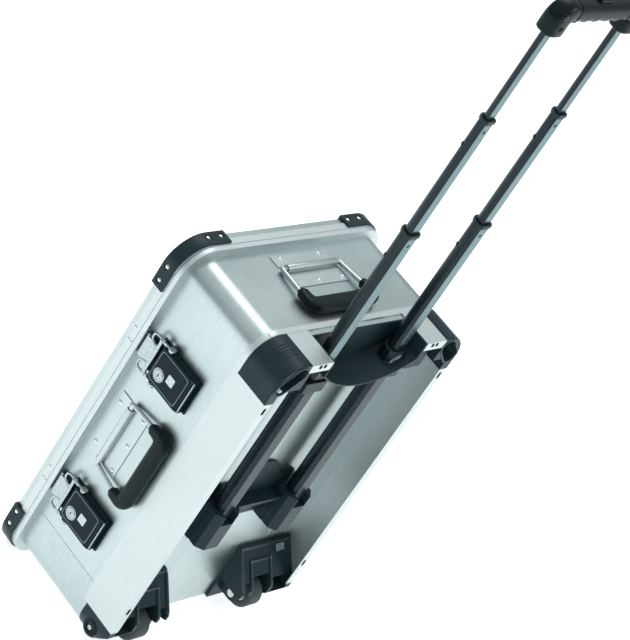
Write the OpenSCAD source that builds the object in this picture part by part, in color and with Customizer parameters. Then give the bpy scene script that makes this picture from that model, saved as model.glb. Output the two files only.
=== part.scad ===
// Hard shell trolley case of sheet aluminium with a four stage pull handle.
// Millimetres. +Z runs up along the pull handle, +Y towards the tubes, -Y towards
// the lid, +X towards the latches. The origin is the middle of the footprint.

/* [Case] */
// Length of the rim, from wheel end to handle end
rim_l = 600; // [500:5:760]
// Width of the rim, from hinge side to latch side
rim_w = 400; // [360:5:560]
// Corner radius of the rim
rim_r = 46; // [36:1:60]
// How far the rim stands out from the body walls
rim_out = 13.2; // [10:0.1:18]
// Depth of the body from the rim to the recess floor
body_d = 156; // [120:1:240]
// Corner radius of the body
body_r = 32; // [20:1:40]
// Sheet thickness of body and lid
sheet = 1.6; // [1:0.1:3]
// Thickness of the body's rim flange
flange_t = 8.6; // [7:0.2:12]
// Depth of the lid in front of the flange
lid_d = 21.4; // [20:0.2:40]
// Gap between the closed lid and the flange
lid_gap = 0.4; // [0.2:0.1:0.8]

/* [Base frame] */
// Depth of the recess that holds the handle tubes
recess_d = 51; // [50:1:70]
// Wall thickness of the base rails
rail_t = 2.5; // [1.5:0.5:5]
// How far the rails stand out from the body walls
rail_out = 2.2; // [1:0.1:5]
// Overlap of the rails on the body
rail_lap = 19; // [10:1:30]
// Width of the inward lip of the rails
rail_lip = 14; // [8:1:20]
// Outer corner radius of the base frame
base_r = 38; // [30:1:44]

/* [Pull handle] */
// Distance between the two tube centres
tube_gap = 150; // [130:2:180]
// Width of the fixed tubes
tube_w = 30; // [28:0.5:34]
// Depth of the fixed tubes
tube_h = 25.5; // [24.5:0.5:29]
// Tube wall thickness
tube_t = 1.6; // [1.2:0.1:1.8]
// Gap around each nested tube
nest_gap = 0.8; // [0.7:0.05:1]
// Exposed length of the first moving stage
reach_a = 229; // [150:1:232]
// Exposed length of the second moving stage
reach_b = 187; // [130:1:196]
// Exposed length of the third moving stage
reach_c = 141; // [100:1:150]
// Length that each stage keeps inside the one below
overlap = 48; // [40:1:60]
// Height of the grip above the upper stage
grip_z = 46; // [42:1:60]

/* [Wheels] */
// Radius of the wheels
wheel_r = 25; // [20:0.5:27]
// Width of the tyres
wheel_w = 32; // [24:1:36]
// Radius of the axles
axle_r = 4; // [3:0.5:5]
// Distance of each wheel from the middle
wheel_x = 118; // [105:1:125]

/* [Latches and handles] */
// Distance of each latch from the middle
latch_z = 138; // [128:1:160]
// Width of the latch levers
lever_w = 56; // [48:1:60]
// Length of the latch levers
lever_l = 70; // [64:1:80]
// Radius of the folding handles' steel rod
rod_r = 3.5; // [3:0.25:4]
// Half length of the folding handles at the rod
rod_x = 58; // [50:1:66]
// Radius of the handle grips
hand_r = 7.5; // [6.5:0.5:8]
// Distance from the handle pivot to its grip
hand_y = 74; // [66:1:80]

/* [Hidden] */

$fn = 48;
eps = 0.01;
slack = 0.3;                        // gap between curved faces of different bodies
run = 0.05;                         // radial running clearance of pins
hx = rim_w / 2 - rim_out;           // body half width
hz = rim_l / 2 - rim_out;           // body half length
bx = hx + rail_out;                 // base frame half width
bz = hz + rail_out;                 // base frame half length
y_floor = body_d;                   // recess floor
y_back = body_d + recess_d;         // back edge of the base frame
y_rail = body_d - rail_lap;         // front edge of the rails
y_lid0 = -flange_t - lid_gap;       // back face of the lid rim
y_lid1 = -flange_t - lid_d;         // front face of the lid
guard_t = 3;                        // thickness of the corner guards
guard_leg = 80;                     // length of a guard's leg
guard_y = y_lid1 - guard_t;         // front of the guards
skin = 1.5;                         // lid rim lip around the lid pan
lid_w = rim_w - 2 * skin;
lid_l = rim_l - 2 * skin;
lid_r = rim_r - skin;
rivet_r = 4;
rivet_h = 1.9;
// hinges
knuckle_r = 4;
hinge_pin_r = 1.6;
hinge_x = -rim_w / 2 - knuckle_r;
hinge_y = -flange_t - lid_gap / 2;
hinge_z = 140;
knuckle_l = 14;
leaf_t = 1.5;
leaf_l = 3 * knuckle_l;
// latches, offsets from the body wall along X and from the rim along Y
base_t = 2;
pivot_x = 8.7;
pivot_y = 44;
lever_y0 = 38;
lever_y1 = lever_y0 + lever_l;
lever_top = 15.2;
lever_bot = 4.2;
lever_skin = 2.6;
pin_r = 2;
ear_t = 3;
bail_x = 10.7;
bail_y = 50;
bail_t = 3;
roller_y = 29;
hook_w = 34;
stub_r = 1.5;
key_r = 7.4;
key_y = 55;
key_dz = -8.5;
keeper_w = 32;
keeper_x = 5.2;
keeper_t = 2;
bar_gap = 0.9;
ear_z = 21.5;
ear_r = 3.6;
// folding handles
hand_dy = 41;
hand_dx = 5.7;
hand_rise = 4.3;
hand_band = 25;
plate_l = 112;
plate_y0 = 12;
plate_y1 = 73;
plate_t = 1.5;
side_hand_z = -3;
// pull handle
tx = tube_gap / 2;
ty = y_floor + 24;
step = 2 * (tube_t + nest_gap);
wa = tube_w - step;
ha = tube_h - step;
wb = wa - step;
hb = ha - step;
wc = wb - step;
hc = hb - step;
facet = 5.4;                        // facet at the back corners of the fixed tubes
facet_min = 0.2;
collar_h = 5;
collar_out = 1.6;
z_fix0 = -hz + 226.8;
z_fix1 = hz - 29.8;
z_a1 = z_fix1 + collar_h + reach_a;
z_b1 = z_a1 + collar_h + reach_b;
z_c1 = z_b1 + collar_h + reach_c;
z_a0 = z_fix1 - overlap;
z_b0 = z_a1 - overlap;
z_c0 = z_b1 - overlap;
plug_h = 18;
grip_half = tx + 26;
grip_in = 20;
grip_y = 15;
button_w = 26;
button_d = 12;
button_travel = 4;
// handle cup
cup_half = tx + 23;
cup_sag = 28;
cup_drop = 62;
cup_t = 3;
cup_arc = (pow(cup_half - 7, 2) + pow(cup_sag, 2)) / (2 * cup_sag);
strip_w = 42;
block_x = cup_half + strip_w;
block_z = bz - 64;
oval_l = 52;
oval_w = 23;
oval_d = 30;
// lower bracket
socket_t = 9;
socket_w = 50;
socket_z0 = z_fix0 - 35;
socket_z1 = z_fix0 + 32;
// wheels
wy = y_floor + 27.5;
wz = -hz + 29;
cheek_x0 = 76;
bay_x0 = wheel_x - wheel_w / 2 - 3;
bay_x1 = wheel_x + wheel_w / 2 + 3;
lug_t = 9;
lug_r = 13;
wheel_clear = 3;
notch_r = wheel_r + 18;
house_z = -bz + 53;
ramp_z = -bz + 109;
tyre_round = 5;
hub_r = wheel_r - 10;
foot_r = 9;
foot_x = 150;
foot_y = y_floor + 3;

// outermost faces, which set the origin
x_max = hx + hand_dx + hand_rise + hand_r;
x_min = hinge_x - knuckle_r;
z_min = -rim_l / 2 - guard_t;
mid_x = (x_max + x_min) / 2;
mid_y = (guard_y + max(y_back, wy + wheel_r)) / 2;

// ---- helpers ----
module at_case() translate([-mid_x, -mid_y, -z_min]) children();

// rounded rectangle on the middle
module rrect(w, l, r) {
    square([w - 2 * r, l], center = true);
    square([w, l - 2 * r], center = true);
    for (i = [-1, 1], j = [-1, 1]) translate([i * (w / 2 - r), j * (l / 2 - r)]) circle(r);
}

// an outline in X and Z, carried from y0 to y1
module along_y(y0, y1) translate([0, y1, 0]) rotate([90, 0, 0]) linear_extrude(y1 - y0) children();

// an outline in Y and Z, carried from x0 to x1
module along_x(x0, x1) translate([x0, 0, 0]) rotate([90, 0, 90]) linear_extrude(x1 - x0) children();

// a box from its lowest to its highest corner
module box(a, b) translate(a) cube(b - a);

module ring_y(w, l, r, t, y0, y1) along_y(y0, y1) difference() {
    rrect(w, l, r);
    rrect(w - 2 * t, l - 2 * t, r - t);
}

// a rivet head standing on a face along +Z
module rivet(r = rivet_r, h = rivet_h) intersection() {
    cylinder(r = r, h = h);
    translate([0, 0, h - (r * r + h * h) / (2 * h)]) sphere((r * r + h * h) / (2 * h));
}

// both sides of the case
module both_x() {
    children();
    mirror([1, 0, 0]) children();
}

module both_z() {
    children();
    mirror([0, 0, 1]) children();
}

module rod(a, b, r) {
    d = b - a;
    l = norm(d);
    translate(a) rotate([0, acos(d[2] / l), atan2(d[1], d[0])]) cylinder(r = r, h = l);
}

// ---- body and lid ----
module body_shell() color("silver") at_case() difference() {
    along_y(0, y_floor) rrect(2 * hx, 2 * hz, body_r);
    along_y(-1, y_floor - sheet) rrect(2 * (hx - sheet), 2 * (hz - sheet), body_r - sheet);
}

module body_rim() color("gainsboro") at_case() difference() {
    union() {
        ring_y(rim_w, rim_l, rim_r, rim_out + sheet, -flange_t, 0);
        ring_y(2 * (hx - sheet), 2 * (hz - sheet), body_r - sheet, 1.5, -flange_t, 14);
    }
    for (s = [-1, 1]) box([hx + keeper_x - 1, -flange_t - 1, s * latch_z - keeper_w / 2 - 2],
        [hx + keeper_x + 4.5, 1, s * latch_z + keeper_w / 2 + 2]);
}

module lid_shell() color("silver") at_case() difference() {
    along_y(y_lid1, -flange_t - 6) rrect(lid_w, lid_l, lid_r);
    along_y(y_lid1 + sheet, 0) rrect(lid_w - 2 * sheet, lid_l - 2 * sheet, lid_r - sheet);
}

module lid_rim() color("gainsboro") at_case() difference() {
    union() {
        ring_y(rim_w, rim_l, rim_r, skin, -flange_t - 12, -flange_t - 6);
        ring_y(rim_w, rim_l, rim_r, 8, -flange_t - 6, y_lid0);
    }
    for (s = [-1, 1]) box([hx + keeper_x, -flange_t - 5, s * latch_z - keeper_w / 2],
        [hx + keeper_x + keeper_t, 0, s * latch_z + keeper_w / 2]);
}

module lid_seal() color("dimgray") at_case()
    ring_y(rim_w - 16.2, rim_l - 16.2, rim_r - 8.1, 4, y_lid0 - 4, -flange_t - 0.02);

// places of the guards' rivets, whose heads lie flush in the guards
module at_guard_rivets() for (d = [10, 34]) {
    translate([rim_w / 2 + guard_t - rivet_h, y_lid1 + 6, rim_l / 2 - guard_leg + d])
        rotate([0, 90, 0]) children();
    translate([rim_w / 2 - guard_leg + d, y_lid1 + 6, rim_l / 2 + guard_t - rivet_h]) children();
}

module lid_corner_guards() color("#26292b") at_case() both_x() both_z() difference() {
    intersection() {
        union() {
            ring_y(rim_w + 2 * guard_t, rim_l + 2 * guard_t, rim_r + guard_t, guard_t,
                guard_y, -flange_t - 2);
            ring_y(rim_w + 2 * guard_t, rim_l + 2 * guard_t, rim_r + guard_t, 15,
                guard_y, y_lid1);
        }
        box([rim_w / 2 - guard_leg, guard_y - 1, rim_l / 2 - guard_leg],
            [rim_w / 2 + 9, 0, rim_l / 2 + 9]);
    }
    at_guard_rivets() cylinder(r = rivet_r + 0.6, h = 9);
}

module lid_rivets() color("whitesmoke") at_case() {
    both_x() both_z() at_guard_rivets() rivet();
    for (s = [-1, 1], d = [[-12, 9], [10, 9], [-12, 3]])
        translate([rim_w / 2, -flange_t - d[1], s * latch_z + d[0]])
            rotate([0, 90, 0]) rivet(2.5, 1.6);
    for (s = [-1, 1], d = [-15, 15])
        translate([-rim_w / 2 - leaf_t, y_lid1 + 8.5, s * hinge_z + d])
            rotate([0, -90, 0]) rivet(2.8, 1.2);
}

// ---- hinges ----
module knuckle(z, l) translate([hinge_x, hinge_y, z]) difference() {
    cylinder(r = knuckle_r, h = l);
    translate([0, 0, -1]) cylinder(r = hinge_pin_r + run, h = l + 2);
}

module lid_hinge_leaves() color("lightgray") at_case() for (s = [-1, 1]) {
    z = s * hinge_z;
    difference() {
        box([-rim_w / 2 - leaf_t, y_lid1 + 2, z - leaf_l / 2],
            [-rim_w / 2, y_lid0 - 1, z + leaf_l / 2]);
        translate([hinge_x, hinge_y, z - leaf_l]) cylinder(r = hinge_pin_r + run, h = 2 * leaf_l);
        box([-rim_w, -flange_t - 5, z - leaf_l], [0, 0, z - knuckle_l / 2 + slack]);
        box([-rim_w, -flange_t - 5, z + knuckle_l / 2 - slack], [0, 0, z + leaf_l]);
    }
    knuckle(z - knuckle_l / 2 + slack, knuckle_l - 2 * slack);
}

module body_hinge_leaves() color("lightgray") at_case() for (s = [-1, 1]) {
    z = s * hinge_z;
    difference() {
        union() {
            box([-rim_w / 2 - leaf_t, hinge_y + 1, z - leaf_l / 2],
                [-rim_w / 2, leaf_t + slack, z + leaf_l / 2]);
            box([-rim_w / 2 - leaf_t, slack, z - leaf_l / 2],
                [-hx, leaf_t + slack, z + leaf_l / 2]);
            box([-hx - leaf_t, slack, z - leaf_l / 2], [-hx, 34, z + leaf_l / 2]);
        }
        box([-rim_w, -flange_t - 5, z - knuckle_l / 2 - slack],
            [-rim_w / 2, -flange_t + 6, z + knuckle_l / 2 + slack]);
    }
    for (k = [-1, 1]) knuckle(z + k * knuckle_l - knuckle_l / 2, knuckle_l);
}

module hinge_pins() color("gray") at_case() for (s = [-1, 1])
    translate([hinge_x, hinge_y, s * hinge_z - leaf_l / 2 - 1])
        cylinder(r = hinge_pin_r, h = leaf_l + 2);

// ---- latches ----
// a latch piece, drawn from the wall (x = 0) and the rim (y = 0), at its own place
module at_latch(s) translate([hx, 0, s * latch_z]) children();

module latch_bases() color("#2b2e30") at_case() for (s = [-1, 1]) at_latch(s) difference() {
    union() {
        box([0, 24, -lever_w / 2 - 1], [base_t, lever_y1 + 4, lever_w / 2 + 1]);
        for (k = [-1, 1]) {
            box([base_t - eps, pivot_y - ear_r, k * ear_z - ear_t / 2],
                [pivot_x, pivot_y + ear_r, k * ear_z + ear_t / 2]);
            translate([pivot_x, pivot_y, k * ear_z - ear_t / 2]) cylinder(r = ear_r, h = ear_t);
        }
    }
    translate([pivot_x, pivot_y, -lever_w]) cylinder(r = pin_r + run, h = 2 * lever_w);
}

module latch_pivot_pins() color("silver") at_case() for (s = [-1, 1]) at_latch(s)
    translate([pivot_x, pivot_y, -lever_w / 2 + 0.2]) cylinder(r = pin_r, h = lever_w - 0.4);

module latch_lever(s) at_case() at_latch(s) {
    difference() {
        translate([0, 0, -lever_w / 2]) linear_extrude(lever_w) polygon([
            [lever_bot + 3, lever_y0], [lever_top - 1, lever_y0], [lever_top, lever_y0 + 1],
            [lever_top, lever_y1 - 7], [lever_top - 4, lever_y1], [lever_bot, lever_y1],
            [lever_bot, lever_y0 + 8]]);
        translate([0, 0, -lever_w / 2 + 2.5]) linear_extrude(lever_w - 5) polygon([
            [0, lever_y0 - 1], [lever_top - lever_skin, lever_y0 - 1],
            [lever_top - lever_skin, lever_y1 - 8],
            [lever_top - lever_skin - 2, lever_y1 - 3], [0, lever_y1 - 3]]);
        translate([pivot_x, pivot_y, -lever_w]) cylinder(r = pin_r + run, h = 2 * lever_w);
        translate([0, key_y, key_dz]) rotate([0, 90, 0])
            cylinder(r = key_r + run, h = 2 * lever_top);
    }
    for (k = [-1, 1]) translate([bail_x, bail_y, k * (lever_w / 2 + 1.6) - 1.7])
        cylinder(r = stub_r, h = 3.4);
}

module latch_lever_upper() color("#232628") latch_lever(1);
module latch_lever_lower() color("#232628") latch_lever(-1);

module latch_bail(s) at_case() at_latch(s) difference() {
    union() {
        for (k = [-1, 1]) translate([0, 0, k * (lever_w / 2 + slack + bail_t / 2)]) {
            box([bail_x - 1.6, roller_y, -bail_t / 2], [bail_x + 1.6, bail_y, bail_t / 2]);
            translate([bail_x, bail_y, -bail_t / 2]) cylinder(r = 3.2, h = bail_t);
            translate([bail_x, roller_y, -bail_t / 2]) cylinder(r = 4.2, h = bail_t);
        }
        box([keeper_x + keeper_t + bar_gap, 6, -hook_w / 2], [bail_x + 1.6, 9.7, hook_w / 2]);
        box([bail_x - 0.2, 9, -hook_w / 2], [bail_x + 1.6, roller_y, hook_w / 2]);
        translate([bail_x, roller_y, -lever_w / 2 - 1]) cylinder(r = 3.4, h = lever_w + 2);
    }
    translate([bail_x, bail_y, -lever_w]) cylinder(r = stub_r + run, h = 2 * lever_w);
}

module latch_bail_upper() color("gainsboro") latch_bail(1);
module latch_bail_lower() color("gainsboro") latch_bail(-1);

module key_cylinder(s) at_case() at_latch(s) translate([0, key_y, key_dz]) rotate([0, 90, 0])
    difference() {
        union() {
            translate([0, 0, 9]) cylinder(r = key_r, h = lever_top - 9);
            translate([0, 0, lever_top]) cylinder(r = key_r - 0.4, h = 0.8);
        }
        translate([0, 0, lever_top - 3]) box([-3, -0.6, 0], [3, 0.6, 5]);
    }

module key_cylinder_upper() color("whitesmoke") key_cylinder(1);
module key_cylinder_lower() color("whitesmoke") key_cylinder(-1);

module latch_keepers() color("gray") at_case() for (s = [-1, 1]) at_latch(s)
    box([keeper_x, -flange_t - 5, -keeper_w / 2], [keeper_x + keeper_t, 13, keeper_w / 2]);

// ---- folding handles, drawn flat on the wall x = 0 with the pivot at hand_dy ----
module hand_plate() difference() {
    union() {
        box([0, plate_y0, -plate_l / 2], [plate_t, plate_y1, plate_l / 2]);
        translate([hand_dx, hand_dy, -rod_x + 8]) cylinder(r = hand_dx, h = 2 * rod_x - 16);
    }
    translate([hand_dx, hand_dy, -rod_x]) cylinder(r = rod_r + run, h = 2 * rod_x);
    for (k = [-1, 1]) box([-1, hand_dy - 8, k * (rod_x - 2) - 6],
        [plate_t + 9, hand_dy + 8, k * (rod_x - 2) + 6]);
}

module hand_rod() {
    translate([hand_dx, hand_dy, -rod_x]) cylinder(r = rod_r, h = 2 * rod_x);
    for (k = [-1, 1]) {
        translate([hand_dx, hand_dy, k * rod_x]) sphere(rod_r);
        rod([hand_dx, hand_dy, k * rod_x],
            [hand_dx + hand_rise, hand_dy + hand_y, k * (rod_x + 8)], rod_r);
    }
}

module hand_grip() {
    h = [hand_dx + hand_rise, hand_dy + hand_y, 0];
    difference() {
        union() {
            translate(h - [0, 0, rod_x + hand_r]) linear_extrude(2 * rod_x + 2 * hand_r) {
                square([2 * hand_r, hand_band - 2 * hand_r], center = true);
                for (k = [-1, 1]) translate([0, k * (hand_band / 2 - hand_r)]) circle(hand_r);
            }
            for (k = [-1, 1]) {
                translate(h + [0, hand_r - hand_band / 2, k * (rod_x + hand_r)]) sphere(hand_r);
                translate(h + [0, hand_band / 2 - hand_r, k * (rod_x + hand_r)]) sphere(hand_r);
                rod(h + [-1.3, -24, k * (rod_x + 5.6)], h + [0, 0, k * (rod_x + 7)], hand_r - 0.5);
            }
        }
        for (k = [-1, 1]) rod([hand_dx, hand_dy, k * rod_x],
            h + [0, 0, k * (rod_x + 8)], rod_r);
    }
}

module hand_rivets() {
    for (z = [-39, 39]) translate([plate_t, plate_y0 + 6, z]) rotate([0, 90, 0]) rivet();
    for (z = [-48, 0, 48]) translate([plate_t, plate_y1 - 8, z]) rotate([0, 90, 0]) rivet();
}

module at_side_hand() at_case() translate([hx, 0, side_hand_z]) children();
module at_top_hand() at_case() translate([0, 0, hz]) rotate([0, -90, 0]) children();

module side_handle_plate() color("silver") at_side_hand() hand_plate();
module side_handle_rod() color("whitesmoke") at_side_hand() hand_rod();
module side_handle_grip() color("#1e2022") at_side_hand() hand_grip();
module top_handle_plate() color("silver") at_top_hand() hand_plate();
module top_handle_rod() color("whitesmoke") at_top_hand() hand_rod();
module top_handle_grip() color("#1e2022") at_top_hand() hand_grip();

module body_rivets() color("whitesmoke") {
    at_side_hand() hand_rivets();
    at_top_hand() hand_rivets();
    at_case() for (s = [-1, 1], d = [-14, 14])
        translate([-hx - leaf_t, 24, s * hinge_z + d]) rotate([0, -90, 0]) rivet(2.8, 1.2);
}

// ---- base frame ----
module base_outline() rrect(2 * bx, 2 * bz, base_r);

module frame_wall() {
    along_y(y_rail, y_back) difference() {
        base_outline();
        rrect(2 * hx, 2 * hz, body_r);
    }
    along_y(y_floor, y_back) difference() {
        base_outline();
        rrect(2 * (bx - rail_t), 2 * (bz - rail_t), base_r - rail_t);
    }
    along_y(y_back - 2, y_back) difference() {
        base_outline();
        rrect(2 * (bx - rail_lip), 2 * (bz - rail_lip), base_r - rail_lip);
    }
}

module side_rails() color("silver") at_case() both_x() difference() {
    intersection() {
        frame_wall();
        box([hx - 20, y_rail - 1, house_z], [bx + 1, y_back + 1, bz + 1]);
    }
    box([hx - 30, y_rail + 10, block_z], [bx + 9, y_back + 1, bz + 9]);
}

module end_rails() color("gainsboro") at_case() {
    both_x() intersection() {
        frame_wall();
        box([cup_half, y_rail + 10.1, hz - 20], [block_x, y_back + 1, bz + 1]);
    }
    intersection() {
        frame_wall();
        box([-hx + 20.1, y_rail - 1, hz - 1], [hx - 20.1, y_rail + 10, bz + 1]);
    }
}

// the oval pocket in a corner block's back
module block_oval(grow = 0) translate([bx - 25, bz - 25]) rotate(-45) {
    square([oval_l - oval_w, oval_w + 2 * grow], center = true);
    for (k = [-1, 1]) translate([k * (oval_l - oval_w) / 2, 0]) circle(oval_w / 2 + grow);
}

module corner_blocks() color("#2c3032") at_case() both_x() {
    difference() {
        intersection() {
            along_y(y_rail + 10.1, y_back) rrect(2 * bx + 1.6, 2 * bz + 1.6, base_r + 0.8);
            box([block_x + 0.1, y_rail + 10, block_z + 0.1], [bx + 9, y_back + 1, bz + 9]);
        }
        along_y(y_rail, y_floor) rrect(2 * hx, 2 * hz, body_r);
        along_y(y_back - oval_d, y_back + 1) block_oval();
        box([block_x, y_floor, block_z], [bx - rail_lip - 2, y_back + 1, block_z + 24]);
    }
    // raised lip round the pocket
    along_y(y_back - 2, y_back + 1) difference() {
        block_oval(2.5);
        block_oval();
    }
    // inner leg beside the handle cup
    box([block_x - 32, y_floor, block_z], [block_x + 1, y_back - 14, block_z + 32]);
}

module block_screws() color("whitesmoke") at_case() both_x()
    translate([bx - 25 + 10, y_back - oval_d, bz - 25 - 10]) rotate([-90, 0, 0]) difference() {
        cylinder(r = 5.5, h = 3);
        translate([0, 0, 1.5]) cylinder(r = 2.2, h = 3, $fn = 6);
    }

module cup_outline(t) intersection() {
    translate([-cup_half + t, bz - cup_drop - 9]) square([2 * (cup_half - t), cup_drop + 9 + 3 * t]);
    translate([0, bz - cup_drop + cup_arc]) circle(cup_arc - t, $fn = 96);
}

module handle_cup() color("#232729") at_case() difference() {
    along_y(y_floor, y_back) cup_outline(0);
    along_y(y_floor + cup_t, y_back + 1) cup_outline(cup_t);
    for (s = [-1, 1]) translate([s * tx, ty, 0]) linear_extrude(bz + 9)
        tube_outline(tube_w + 2 * collar_out + 1, tube_h + 2 * collar_out + 1);
}

// ---- pull handle ----
// tube section: a half circle to the front, a flat with two facets to the back
module tube_outline(w, h) {
    back = h - w / 2;
    cut = max(facet_min, facet - (tube_w - w) * (1 - sqrt(2) / 2));
    intersection() {
        circle(w / 2);
        translate([-w / 2, -w / 2]) square([w, w / 2]);
    }
    polygon([[-w / 2, 0], [w / 2, 0], [w / 2, back - cut], [w / 2 - cut, back],
        [cut - w / 2, back], [-w / 2, back - cut]]);
}

module tube(w, h, z0, z1) translate([0, 0, z0]) linear_extrude(z1 - z0) difference() {
    tube_outline(w, h);
    tube_outline(w - 2 * tube_t, h - 2 * tube_t);
}

module at_tubes() at_case() for (s = [-1, 1]) translate([s * tx, ty, 0]) children();

// a ring on a tube's end that guides the next tube
module collar(w, h, z) translate([0, 0, z]) linear_extrude(collar_h) difference() {
    tube_outline(w + 2 * collar_out, h + 2 * collar_out);
    tube_outline(w - step + 2 * slack, h - step + 2 * slack);
}

// a plug in a tube's lower end that slides in the tube around it
module plug(w, h, z) {
    translate([0, 0, z - plug_h / 2]) linear_extrude(plug_h / 2)
        tube_outline(w + 2 * (nest_gap - slack), h + 2 * (nest_gap - slack));
    translate([0, 0, z - eps]) linear_extrude(plug_h / 2)
        tube_outline(w - 2 * tube_t, h - 2 * tube_t);
}

module fixed_tubes() color("#2a2d30") at_tubes() tube(tube_w, tube_h, z_fix0, z_fix1);
module fixed_collars() color("#1d1f21") at_tubes() collar(tube_w, tube_h, z_fix1);
module stage_a_tubes() color("#2f3336") at_tubes() tube(wa, ha, z_a0, z_a1);
module stage_a_collars() color("#1d1f21") at_tubes() collar(wa, ha, z_a1);
module stage_a_plugs() color("#1d1f21") at_tubes() plug(wa, ha, z_a0);
module stage_b_tubes() color("#2f3336") at_tubes() tube(wb, hb, z_b0, z_b1);
module stage_b_collars() color("#1d1f21") at_tubes() collar(wb, hb, z_b1);
module stage_b_plugs() color("#1d1f21") at_tubes() plug(wb, hb, z_b0);
module stage_c_tubes() color("#2f3336") at_tubes() tube(wc, hc, z_c0, z_c1 + grip_in);
module stage_c_plugs() color("#1d1f21") at_tubes() plug(wc, hc, z_c0);

module tube_clamps() color("#2a2d30") at_case() both_x() difference() {
    box([tx - tube_w / 2 - 4, y_floor, z_fix1 - 44],
        [tx + tube_w / 2 + 9, ty + tube_h - tube_w / 2 + 3, z_fix1 - 24]);
    translate([tx, ty, 0]) linear_extrude(bz) tube_outline(tube_w, tube_h);
}

module lower_bracket() color("#26292b") at_case() difference() {
    union() {
        for (s = [-1, 1]) translate([s * tx, ty, socket_z0]) linear_extrude(socket_z1 - socket_z0) {
            tube_outline(tube_w + 2 * socket_t, tube_h + 2 * socket_t);
            translate([-socket_w / 2, y_floor - ty]) square([socket_w, 18]);
        }
        box([-tx, y_floor, socket_z0 + 8], [tx, y_floor + 4, socket_z1 + 20]);
        box([-tx, y_floor, socket_z0 + 50], [tx, y_floor + 24, socket_z0 + 56]);
        along_y(y_floor, y_floor + 4) translate([0, socket_z1 + 6]) circle(46);
    }
    for (s = [-1, 1]) translate([s * tx, ty, z_fix0]) linear_extrude(120) tube_outline(tube_w, tube_h);
    for (s = [-1, 1]) box([s * tx - 12, ty + 4, socket_z1 - 18], [s * tx + 12, ty + 60, socket_z1 + 9]);
}

// ---- grip ----
// outline in X and Z of the whole grip
module grip_outline() difference() {
    union() {
        translate([0, z_c1 + grip_z - 15]) square([2 * grip_half - 30, 30], center = true);
        for (s = [-1, 1]) {
            translate([s * (grip_half - 15), z_c1 + grip_z - 15]) circle(15);
            translate([s * (tx + 3) - 17, z_c1]) square([34, grip_z - 15]);
        }
    }
    for (i = [-1.5 : 1 : 1.5]) translate([i * 24, z_c1 + grip_z - 43]) circle(15);
}

module grip_half_shell(s) difference() {
    union() {
        along_y(s > 0 ? ty : ty - grip_y + 3, s > 0 ? ty + grip_y - 3 : ty) grip_outline();
        intersection() {
            along_y(s > 0 ? ty : ty - grip_y, s > 0 ? ty + grip_y : ty) grip_outline();
            box([-grip_half + 6, ty - 40, z_c1 + 3], [grip_half - 6, ty + 40, z_c1 + grip_z - 4]);
        }
    }
    for (k = [-1, 1]) translate([k * tx, ty, z_c0]) linear_extrude(z_c1 + grip_in - z_c0)
        tube_outline(wc, hc);
    box([-button_w / 2 - slack, ty - button_d / 2 - slack, z_c1 + grip_z - 20],
        [button_w / 2 + slack, ty + button_d / 2 + slack, z_c1 + grip_z + 9]);
}

module grip_front_shell() color("#202325") at_case() grip_half_shell(-1);
module grip_rear_shell() color("#202325") at_case() grip_half_shell(1);

module grip_button() color("#34383b") at_case()
    box([-button_w / 2, ty - button_d / 2, z_c1 + grip_z - 12],
        [button_w / 2, ty + button_d / 2, z_c1 + grip_z + 3]);

module button_spring() color("gray") at_case() translate([0, ty, z_c1 + grip_z - 19.5])
    difference() {
        cylinder(r = 4, h = 7.2);
        translate([0, 0, -1]) cylinder(r = 2.8, h = 12);
    }

module grip_screws() color("silver") at_case() both_x() difference() {
    translate([grip_half - 18, ty + grip_y, z_c1 + grip_z - 15]) rotate([-90, 0, 0]) cylinder(r = 3.5, h = 1);
    translate([grip_half - 18, ty + grip_y + 0.5, z_c1 + grip_z - 15]) rotate([-90, 0, 0])
        cylinder(r = 1.6, h = 1, $fn = 6);
}

// ---- wheels ----
// wheel housing on the +X side: a ramp over the wheel bay, a lug that holds the
// axle's inner end and a block in the corner that holds its outer end
module wheel_housing() difference() {
    union() {
        along_x(cheek_x0, bx - rail_t) polygon([[y_floor, house_z - 8], [y_floor, ramp_z],
            [y_floor + 5, ramp_z], [y_back, house_z + 4], [y_back, house_z - 4],
            [y_back - 12, house_z - 8]]);
        intersection() {
            along_x(bay_x1, bx) polygon([[y_rail + 10.1, house_z], [y_back, house_z],
                [y_back, -bz + 43], [y_floor + 12, -bz], [y_rail + 10.1, -bz]]);
            along_y(y_rail, y_back + 1) rrect(2 * bx, 2 * bz, base_r);
        }
        intersection() {
            box([cheek_x0, y_rail + 10.1, -bz], [bx, y_floor + 5, house_z]);
            along_y(y_rail, y_back + 1) rrect(2 * bx, 2 * bz, base_r);
        }
        along_x(bay_x0 - lug_t, bay_x0) {
            translate([wy, wz]) circle(lug_r);
            polygon([[y_floor, wz - lug_r], [wy, wz - lug_r], [wy + lug_r, wz],
                [wy + lug_r - 2, house_z - 6], [y_floor, house_z - 6]]);
        }
    }
    along_y(y_rail, y_floor) rrect(2 * hx, 2 * hz, body_r);
    // wheel bay
    translate([bay_x0, wy, wz]) rotate([0, 90, 0])
        cylinder(r = wheel_r + wheel_clear, h = bay_x1 - bay_x0);
    // arched notch in the ramp over the wheel
    intersection() {
        translate([bay_x0, wy, wz]) rotate([0, 90, 0])
            cylinder(r = notch_r, h = bay_x1 - bay_x0);
        box([bay_x0, y_floor + 14, -bz], [bay_x1, y_back + 9, ramp_z]);
    }
    // two pockets in the ramp
    for (p = [[cheek_x0 + 4, 14], [bay_x1 + 6, 34]])
        box([p[0], y_floor + 7, house_z - 9], [p[0] + p[1], y_back + 9, house_z + 14]);
    // the axle's bore
    translate([cheek_x0, wy, wz]) rotate([0, 90, 0]) cylinder(r = axle_r, h = bay_x1 + 12 - cheek_x0);
    // room for the side rails
    intersection() {
        frame_wall();
        box([hx - 20, y_rail - 1, house_z], [bx + 1, y_back + 1, bz]);
    }
}

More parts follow.
